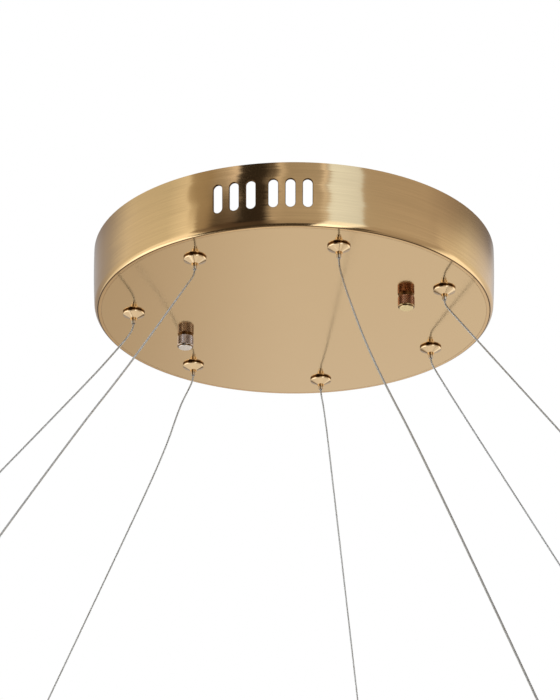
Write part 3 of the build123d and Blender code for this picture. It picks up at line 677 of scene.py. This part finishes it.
class CableSettings(bpy.types.PropertyGroup):
    """Make-up of the suspension cables."""

    diameter: bpy.props.FloatProperty(
        name="Diameter", description="Across the whole cable", default=0.0015, unit="LENGTH", precision=5
    )
    lay: bpy.props.FloatProperty(
        name="Lay", description="Length of one turn of a strand", default=0.0095, unit="LENGTH", precision=5
    )
    strands: bpy.props.IntProperty(name="Strands", description="Strands round the core", default=6, min=3)


class NutSettings(bpy.types.PropertyGroup):
    """Knurl of the thumb nuts."""

    knurl_depth: bpy.props.FloatProperty(
        name="Knurl depth", description="From crest to groove", default=0.00042, unit="LENGTH", precision=5
    )
    diamonds: bpy.props.IntProperty(name="Diamonds", description="Diamonds round the grip", default=30, min=8)


class StageSettings(bpy.types.PropertyGroup):
    """Floor and light."""

    floor_drop: bpy.props.FloatProperty(
        name="Floor", description="Height of the ceiling plane above the floor", default=1.6, unit="LENGTH"
    )
    floor_colour: bpy.props.FloatVectorProperty(
        name="Floor colour", description="Plain pale floor", subtype="COLOR", default=linear("#eae8e4")
    )
    key_power: bpy.props.FloatProperty(
        name="Key light", description="Power of the overhead softbox", default=18.0, unit="POWER"
    )


def wall_profile(size):
    """Outline of the wall in millimetres, down from the ceiling: flared, bowed, rolled in and lipped."""
    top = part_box("canopy_wall")[1].x / MM
    depth = -PLATE_BOTTOM / MM
    lip = (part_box("canopy_plate")[1].x + size.seam) / MM
    plate_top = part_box("canopy_plate")[1].z / MM
    thick = size.thickness / MM
    start = math.asin((size.flare + 4 * size.bow) / MM / depth)
    turn = math.radians(47)
    wall_steps, roll_steps, bend_steps = 32, 10, 6
    rolls = ((size.foot_radius / MM, start, turn), (size.fold_radius / MM, turn, math.pi / 2))
    straight = depth - sum(radius * (math.sin(last) - math.sin(first)) for radius, first, last in rolls)
    outer = []
    for step in range(wall_steps + 1):
        share = step / wall_steps
        reach = top - size.flare / MM * share + 4 * size.bow / MM * share * (1 - share)
        outer.append((reach, -straight * share))
    across, height = outer[-1]
    for radius, first, last in rolls:
        for step in range(1, roll_steps + 1):
            angle = first + (last - first) * step / roll_steps
            inward = radius * (math.cos(first) - math.cos(angle))
            outer.append((across - inward, height - radius * (math.sin(angle) - math.sin(first))))
        across, height = outer[-1]
    # inside, a narrow ledge lies level with the plate and bends up into the wall
    ledge, bend = 0.45, 3.4
    inner = [(lip, PLATE_BOTTOM / MM), (lip, plate_top)]
    for step in range(bend_steps + 1):
        angle = math.radians(90 * step / bend_steps)
        inner.append((lip + ledge + bend * math.sin(angle), plate_top + bend * (1 - math.cos(angle))))
    return outer + inner + [(top - thick, 0), (top, 0)]


def wall_reach(profile, height):
    """Radius of the wall's outer face at a height."""
    for (upper_reach, upper), (lower_reach, lower) in zip(profile, profile[1:]):
        if lower <= height / MM <= upper:
            share = (upper - height / MM) / (upper - lower)
            return (upper_reach + (lower_reach - upper_reach) * share) * MM
    raise ValueError("the height is not on the wall")


def vent_cutter(size):
    """One mesh of round-ended bars, one through each vent, widened where they leave the wall."""
    half = size.vent_width / 2
    run = size.vent_height / 2 - half
    edge = size.vent_edge
    inside = 10 * MM
    sections = ((0, -inside), (0, -edge), (edge, 0), (2 * edge, edge))
    last = len(sections) - 1
    profile = wall_profile(size)
    end_steps = 16
    outline = []
    for end, start in ((1, 0), (-1, 180)):
        for step in range(end_steps + 1):
            angle = math.radians(start + 180 * step / end_steps)
            outline.append((math.cos(angle), math.sin(angle), end * run))
    count = len(outline)
    bars = []
    for azimuth in size.vent_angles():
        outward = Vector((math.cos(azimuth), math.sin(azimuth), 0))
        across = Vector((-outward.y, outward.x, 0))
        points = []
        for wider, past_wall in sections:
            for side, rise, middle in outline:
                height = middle + (half + wider) * rise - size.vent_drop
                reach = wall_reach(profile, height) + past_wall
                points.append(outward * reach + across * (half + wider) * side + Vector((0, 0, height)))
        faces = [tuple(reversed(range(count))), tuple(range(last * count, (last + 1) * count))]
        for ring in range(last):
            for corner in range(count):
                first = ring * count + corner
                following = ring * count + (corner + 1) % count
                faces.append((first, following, following + count, first + count))
        bars.append((points, faces))
    points, faces = join_rods(bars)
    cutter = new_piece("vent_cutter", points, [], faces)
    face_outwards(cutter)
    return cutter


class CANOPY_OT_drum(bpy.types.Operator):
    """Spins the flared wall, cuts its vents and finishes the plate"""

    bl_idname = "canopy.drum"
    bl_label = "Drum"

    def execute(self, context):
        look = context.scene.canopy_finish
        size = context.scene.canopy_wall
        wall = lathe("flared_wall", wall_profile(size), steps=480, centre=Vector((0, 0, 0)))
        cutter = vent_cutter(size)
        select_only(wall)
        bpy.ops.object.modifier_add(type="BOOLEAN")
        cut = wall.modifiers[-1]
        cut.operation = "DIFFERENCE"
        cut.solver = "EXACT"
        cut.object = cutter
        bpy.ops.object.modifier_apply(modifier=cut.name)
        bpy.data.objects.remove(cutter)
        smooth(wall, 32)
        mount(wall, "canopy", "brushed_brass", brushed_brass(look), "canopy_wall")
        # the vents' cut edges are painted dark, as shade
        vent_edge_shade = plain_metal("vent_edge_painted_shade", look.painted_shade_colour, roughness=0.45, width=0.5)
        wall.data.materials.append(vent_edge_shade)
        # at the height of the vents, only their cut faces don't face straight out or in
        vent_reach = size.vent_height / 2 + 2 * size.vent_edge
        straight = 0.9
        for face in wall.data.polygons:
            outward = Vector((face.center.x, face.center.y, 0)).normalized()
            at_vents = abs(face.center.z + size.vent_drop) < vent_reach
            if at_vents and abs(face.normal.dot(outward)) < straight:
                face.material_index = 1
        finish_node("canopy_plate", polished_brass(look))
        return {"FINISHED"}


class CANOPY_OT_cables(bpy.types.Operator):
    """Lays the seven stranded cables"""

    bl_idname = "canopy.cables"
    bl_label = "Cables"

    def execute(self, context):
        look = context.scene.canopy_finish
        size = context.scene.canopy_cable
        strand_radius, strand_sides = size.diameter / 6, 6
        steel = plain_metal("stainless_wire_rope", look.cable_colour, roughness=0.42, width=0.4)
        for number in NUMBERS:
            axis = gripper_axis(number)
            outward = Vector((axis.x, axis.y, 0)).normalized()
            sideways = Vector((0, 0, 1)).cross(outward)
            route = [
                axis + (outward * out + sideways * side - Vector((0, 0, down))) * MM
                for out, side, down in CABLE_ROUTES[number]
            ]
            line = route_line(f"cable_{number}", route, size.lay / CABLE_STEPS_PER_LAY)
            frames = line_frames(line)
            rods = [rod(line, frames, strand_radius, strand_sides)]
            for index in range(size.strands):
                turn = 2 * math.pi * index / size.strands
                wound = rod(line, frames, strand_radius, strand_sides, 2 * strand_radius, turn, size.lay)
                rods.append(wound)
            points, faces = join_rods(rods)
            rope = new_piece(f"stranded_cable_{number}", points, [], faces)
            smooth(rope, 75)
            mount(rope, "canopy", "wire_rope", steel, f"cable_{number}")
        return {"FINISHED"}


class CANOPY_OT_thumb_nuts(bpy.types.Operator):
    """Turns and knurls the two thumb nuts"""

    bl_idname = "canopy.thumb_nuts"
    bl_label = "Thumb nuts"

    def execute(self, context):
        look = context.scene.canopy_finish
        size = context.scene.canopy_nut
        columns = 2 * size.diamonds
        rows = [-0.75 - row for row in range(8)]
        grip, slack = 6.3, 0.1
        # radius and height, from the bore out over the seat, down the grip, and back up inside the blind end
        profile = [(2.05, 0), (5.6, 0), (5.85, -0.2), (5.85, -0.55)]
        profile += [(grip, row) for row in rows]
        profile += [
            (5.95, -7.9), (6.12, -8.02), (6.15, -8.12), (6.08, -8.25), (5.2, -9.25), (5.0, -9.4),
            (0, -9.4), (0, -7.4), (2.05, -7.4), (2.05, 0),
        ]
        # the washers are painted dark, as the shade line under each nut
        dark = plain_metal("washer_brass_painted_shade", look.painted_shade_colour, roughness=0.4, width=1.0)
        for side in SIDES:
            low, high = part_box(f"thumb_nut_{side}")
            # each nut takes its own lit or shaded copy of the brass, with its painted highlight on the end
            colour, end_highlight_colour = look.left_nut_lit_brass_colour, look.left_end_highlight_colour
            if side == "right":
                colour, end_highlight_colour = look.right_nut_shaded_brass_colour, look.right_end_highlight_colour
            metal = knurled_metal(f"knurled_brass_{side}", colour, end_highlight_colour, look.painted_shade_colour, high.z)
            centre = Vector(((low.x + high.x) / 2, (low.y + high.y) / 2, high.z))
            nut = lathe(f"knurled_nut_{side}", profile, columns, centre)
            mesh = nut.data
            for part in (mesh.vertices, mesh.edges, mesh.polygons):
                part.foreach_set("select", [False] * len(part))
            for vertex in mesh.vertices:
                away = vertex.co - centre
                radius = math.hypot(away.x, away.y) / MM
                row = (rows[0] - away.z / MM) / (rows[0] - rows[1])
                if radius > grip - slack and abs(row - round(row)) < slack / 2:
                    column = math.atan2(away.y, away.x) / (2 * math.pi) * columns
                    vertex.select = (round(column) + round(row)) % 2 == 0
            context.tool_settings.mesh_select_mode = (True, False, False)
            bpy.ops.object.mode_set(mode="EDIT")
            shrink = 1 - size.knurl_depth / (grip * MM)
            bpy.ops.transform.resize(value=(shrink, shrink, 1), center_override=centre)
            bpy.ops.mesh.select_all(action="SELECT")
            bpy.ops.mesh.quads_convert_to_tris(quad_method="SHORTEST_DIAGONAL")
            bpy.ops.object.mode_set(mode="OBJECT")
            smooth(nut, 24)
            mount(nut, f"thumb_nut_{side}", "knurled_brass", metal, f"thumb_nut_{side}")
            finish_node(f"nut_washer_{side}", dark)
        return {"FINISHED"}


class CANOPY_OT_grippers(bpy.types.Operator):
    """Finishes the grippers and winds their return springs"""

    bl_idname = "canopy.grippers"
    bl_label = "Grippers"

    def execute(self, context):
        brass = turned_brass(context.scene.canopy_finish)
        nickel = plain_metal("nickel_plated_brass", linear("#bfae98"), roughness=0.1, width=0.6)
        zinc = plain_metal("zinc_plated_nut", linear("#c3c2ba"), roughness=0.32, width=1.5)
        steel = plain_metal("spring_wire", linear("#9c9c9f"), roughness=0.25, width=0.3)
        aluminium = plain_metal("crimped_aluminium", linear("#c9c9c8"), roughness=0.38, width=0.8)
        wire_radius, wire_sides = 0.3 * MM, 8
        turns, samples, flat_turns = 6, 20, 0.75
        for number in NUMBERS:
            finish_node(f"gripper_body_{number}", brass)
            finish_node(f"gripper_plunger_{number}", nickel)
            finish_node(f"cable_end_{number}", brass)
            low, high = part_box(f"gripper_spring_{number}")
            reach = (high.x - low.x) / 2 - wire_radius
            middle = (low + high) / 2
            tall = high.z - low.z
            line = []
            for index in range(turns * samples + 1):
                share = index / (turns * samples)
                angle = 2 * math.pi * turns * share
                # the first and last turns lie flat, as on a closed end
                climb = min(1.0, max(0.0, (share * turns - flat_turns) / (turns - 2 * flat_turns)))
                height = low.z + wire_radius + (tall - 2 * wire_radius) * climb
                across, along = reach * math.cos(angle), reach * math.sin(angle)
                line.append(Vector((middle.x + across, middle.y + along, height)))
            points, faces = rod(line, line_frames(line), wire_radius, wire_sides)
            coil = new_piece(f"return_spring_{number}", points, [], faces)
            smooth(coil, 60)
            mount(coil, "canopy", "spring_steel", steel, f"gripper_spring_{number}")
            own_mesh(coil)
        finish_node("gripper_caps", brass)
        finish_node("gripper_nuts", zinc)
        finish_node("cable_sleeves", aluminium)
        return {"FINISHED"}


class CANOPY_OT_inner_pieces(bpy.types.Operator):
    """Finishes the bracket, driver, terminal block and earth point"""

    bl_idname = "canopy.inner_pieces"
    bl_label = "Inner pieces"

    def execute(self, context):
        zinc = plain_metal("zinc_plated_steel", linear("#bfc0bd"), roughness=0.35, width=3.0)
        steel = plain_metal("terminal_screw_steel", linear("#b8b6ae"), roughness=0.3, width=0.5)
        copper = plain_metal("tinned_copper", linear("#c9c5bb"), roughness=0.3, width=0.6)
        case = moulded_plastic(
            "driver_polycarbonate", linear("#e6e6e2"), roughness=0.45, width=0.35, depth=0.03
        )
        block = moulded_plastic(
            "terminal_polyamide", linear("#ece7d6"), roughness=0.38, width=0.5, depth=0.02
        )
        finishes = {
            zinc: ("ceiling_bracket", "hanger_screws", "hanger_nuts", "earth_post", "earth_nut"),
            steel: ("terminal_screws",),
            copper: ("earth_lug",),
            case: ("driver_case", "driver_cover"),
            block: ("terminal_block",),
            closed_cell_foam(linear("#2b2b2d")): ("mounting_pads",),
        }
        for material, nodes in finishes.items():
            for node in nodes:
                finish_node(node, material)
        return {"FINISHED"}


class CANOPY_OT_leads(bpy.types.Operator):
    """Lays the insulated leads"""

    bl_idname = "canopy.leads"
    bl_label = "Leads"

    def execute(self, context):
        colours = {
            "live_lead": ("live_brown", "#6a4128"),
            "neutral_lead": ("neutral_blue", "#2f5fae"),
            "earth_lead": ("earth_green", "#3f8f3a"),
            "positive_lead": ("positive_red", "#b02a24"),
            "negative_lead": ("negative_black", "#222224"),
        }
        sides = 16
        striped_sides = (0, 1, 2, 8, 9, 10)
        vinyl = {"roughness": 0.42, "width": 0.3, "depth": 0.01}
        stripe = moulded_plastic("pvc_yellow", linear("#e2c52c"), **vinyl)
        for name, (slot, code) in colours.items():
            route = [Vector(point) * MM for point in LEAD_ROUTES[name]]
            line = route_line(name, route, LEAD_STEP * MM)
            points, faces = rod(line, line_frames(line), LEAD_DIAMETER / 2 * MM, sides)
            lead = new_piece(f"insulated_{name}", points, [], faces)
            pvc = moulded_plastic(f"pvc_{slot}", linear(code), **vinyl)
            mount(lead, "canopy", slot, pvc, name)
            if name == "earth_lead":
                lead.data.materials.append(stripe)
                for face in lead.data.polygons[:-2]:
                    face.material_index = int(face.index % sides in striped_sides)
            smooth(lead, 50)
        return {"FINISHED"}


# Stage

def ring_place(angle, spread):
    """Where a direction falls on a ring's ramp, evenly or opened out towards the camera."""
    return 0.5 + 0.5 * (math.sin(math.radians(angle) / 2) if spread else angle / 180)


def set_world(scene, ahead, across):
    """Soft light all round, in broad panels, seen as plain white behind the canopy."""
    world = bpy.data.worlds.new("studio")
    world.use_nodes = True
    scene.world = world
    tree = world.node_tree
    tree.nodes.clear()
    look = add_node(tree, "ShaderNodeTexCoord").outputs["Generated"]
    dots = []
    for axis in (across, ahead):
        dot = add_node(
            tree, "ShaderNodeVectorMath", operation="DOT_PRODUCT", values={1: axis}, links={0: look}
        )
        dots.append(dot.outputs["Value"])
    turn = add_node(tree, "ShaderNodeMath", operation="ARCTAN2", links={0: dots[0], 1: dots[1]})
    even = add_node(
        tree, "ShaderNodeMapRange", links={"Value": turn.outputs[0]},
        values={"From Min": -math.pi, "From Max": math.pi},
    )
    half = add_node(tree, "ShaderNodeMath", operation="MULTIPLY", links={0: turn.outputs[0]}, values={1: 0.5})
    bent = add_node(tree, "ShaderNodeMath", operation="SINE", links={0: half.outputs[0]})
    opened = add_node(tree, "ShaderNodeMapRange", links={"Value": bent.outputs[0]}, values={"From Min": -1})
    height = add_node(tree, "ShaderNodeSeparateXYZ", links={"Vector": look}).outputs["Z"]
    whole = add_node(tree, "ShaderNodeRGB")
    whole.outputs["Color"].default_value = (*NADIR_LIGHT, 1)
    shade = whole.outputs["Color"]
    for stops, edge, fade, spread in RINGS:
        share = (opened if spread else even).outputs["Result"]
        ramp = add_node(tree, "ShaderNodeValToRGB", links={"Fac": share})
        set_ramp(ramp, [(ring_place(angle, spread), *colour) for angle, *colour in stops])
        # a ramp keeps its numbers from 0 up, so the edge is stored one higher
        line = add_node(tree, "ShaderNodeValToRGB", links={"Fac": share})
        set_ramp(line, [(ring_place(angle, spread), sine + 1, sine + 1, sine + 1) for angle, sine in edge])
        above = add_node(
            tree, "ShaderNodeMath", operation="SUBTRACT", links={0: height, 1: line.outputs["Color"]}
        )
        rise = add_node(
            tree, "ShaderNodeMapRange", interpolation_type="SMOOTHSTEP", links={"Value": above.outputs[0]},
            values={"From Min": -1 - fade / 2, "From Max": -1 + fade / 2},
        )
        mixed = add_node(
            tree, "ShaderNodeMix", data_type="RGBA",
            links={MIX_SHARE: rise.outputs["Result"], MIX_FROM: shade, MIX_WITH: ramp.outputs["Color"]},
        )
        shade = mixed.outputs[MIX_COLOUR]
    seen = add_node(tree, "ShaderNodeLightPath").outputs["Is Camera Ray"]
    shown = add_node(
        tree, "ShaderNodeMix", data_type="RGBA", links={MIX_SHARE: seen, MIX_FROM: shade},
        values={MIX_WITH: (1, 1, 1, 1)},
    )
    light = add_node(tree, "ShaderNodeBackground", links={"Color": shown.outputs[MIX_COLOUR]})
    add_node(tree, "ShaderNodeOutputWorld", links={"Surface": light.outputs["Background"]})


class CANOPY_OT_stage(bpy.types.Operator):
    """Sets the floor, the studio light and the camera"""

    bl_idname = "canopy.stage"
    bl_label = "Stage"

    def execute(self, context):
        scene = context.scene
        size = scene.canopy_stage
        scene.view_settings.view_transform = "Standard"
        bpy.ops.object.select_all(action="DESELECT")
        bpy.ops.mesh.primitive_circle_add(
            vertices=96, radius=FLOOR_RADIUS, fill_type="NGON", location=(0, 0, -size.floor_drop)
        )
        floor = context.object
        floor.name = "studio_floor"
        bpy.ops.object.transform_apply(location=True, rotation=True, scale=True)
        paint = moulded_plastic("floor_paint", size.floor_colour, roughness=0.8, width=6.0, depth=0.05)
        floor.data.materials.append(paint)
        floor.visible_glossy = False

        heading = Vector((*CAMERA_HEADING, 0)).normalized()
        across = Vector((heading.y, -heading.x, 0))
        set_world(scene, -heading, across)

        lamp = bpy.data.lights.new("overhead_softbox", "AREA")
        lamp.shape = "RECTANGLE"
        lamp.size, lamp.size_y = SOFTBOX_SIZE
        lamp.energy = size.key_power
        softbox = bpy.data.objects.new("overhead_softbox", lamp)
        scene.collection.objects.link(softbox)
        softbox.location = Vector(SOFTBOX_PLACE)
        softbox.rotation_euler = (-softbox.location).to_track_quat("-Z", "Y").to_euler()
        softbox.visible_glossy = False

        pitch = math.radians(CAMERA_PITCH)
        ahead = heading * math.cos(pitch) + Vector((0, 0, math.sin(pitch)))
        above = across.cross(ahead)
        turn = Matrix((across, above, -ahead)).transposed().to_quaternion()
        lens = bpy.data.cameras.new("photo_camera")
        lens.sensor_width = CAMERA_SENSOR
        lens.lens = CAMERA_LENS
        camera = bpy.data.objects.new("photo_camera", lens)
        scene.collection.objects.link(camera)
        camera.rotation_mode = "QUATERNION"
        camera.location = CAMERA_PLACE
        camera.rotation_quaternion = turn @ Quaternion((0, 0, 1), math.radians(CAMERA_ROLL))
        scene.camera = camera
        return {"FINISHED"}


GROUPS = (
    ("canopy_finish", FinishSettings),
    ("canopy_wall", WallSettings),
    ("canopy_cable", CableSettings),
    ("canopy_nut", NutSettings),
    ("canopy_stage", StageSettings),
)
STEPS = (
    CANOPY_OT_drum,
    CANOPY_OT_cables,
    CANOPY_OT_thumb_nuts,
    CANOPY_OT_grippers,
    CANOPY_OT_inner_pieces,
    CANOPY_OT_leads,
    CANOPY_OT_stage,
)


class CANOPY_PT_panel(bpy.types.Panel):
    """Lists the canopy's settings and steps"""

    bl_idname = "CANOPY_PT_panel"
    bl_label = "Chandelier canopy"
    bl_space_type = "VIEW_3D"
    bl_region_type = "UI"
    bl_category = "Canopy"

    def draw(self, context):
        for name, group in GROUPS:
            box = self.layout.box()
            for key in group.__annotations__:
                box.prop(getattr(context.scene, name), key)
        for step in STEPS:
            self.layout.operator(step.bl_idname)


def register():
    """Adds the settings, the steps and the panel."""
    for name, group in GROUPS:
        bpy.utils.register_class(group)
        setattr(bpy.types.Scene, name, bpy.props.PointerProperty(type=group))
    for step in STEPS:
        bpy.utils.register_class(step)
    bpy.utils.register_class(CANOPY_PT_panel)


def unregister():
    """Takes them away again."""
    bpy.utils.unregister_class(CANOPY_PT_panel)
    for step in reversed(STEPS):
        bpy.utils.unregister_class(step)
    for name, group in reversed(GROUPS):
        delattr(bpy.types.Scene, name)
        bpy.utils.unregister_class(group)


def main():
    """Runs every step."""
    register()
    bpy.ops.canopy.drum()
    bpy.ops.canopy.cables()
    bpy.ops.canopy.thumb_nuts()
    bpy.ops.canopy.grippers()
    bpy.ops.canopy.inner_pieces()
    bpy.ops.canopy.leads()
    bpy.ops.canopy.stage()


if __name__ == "__main__":
    main()
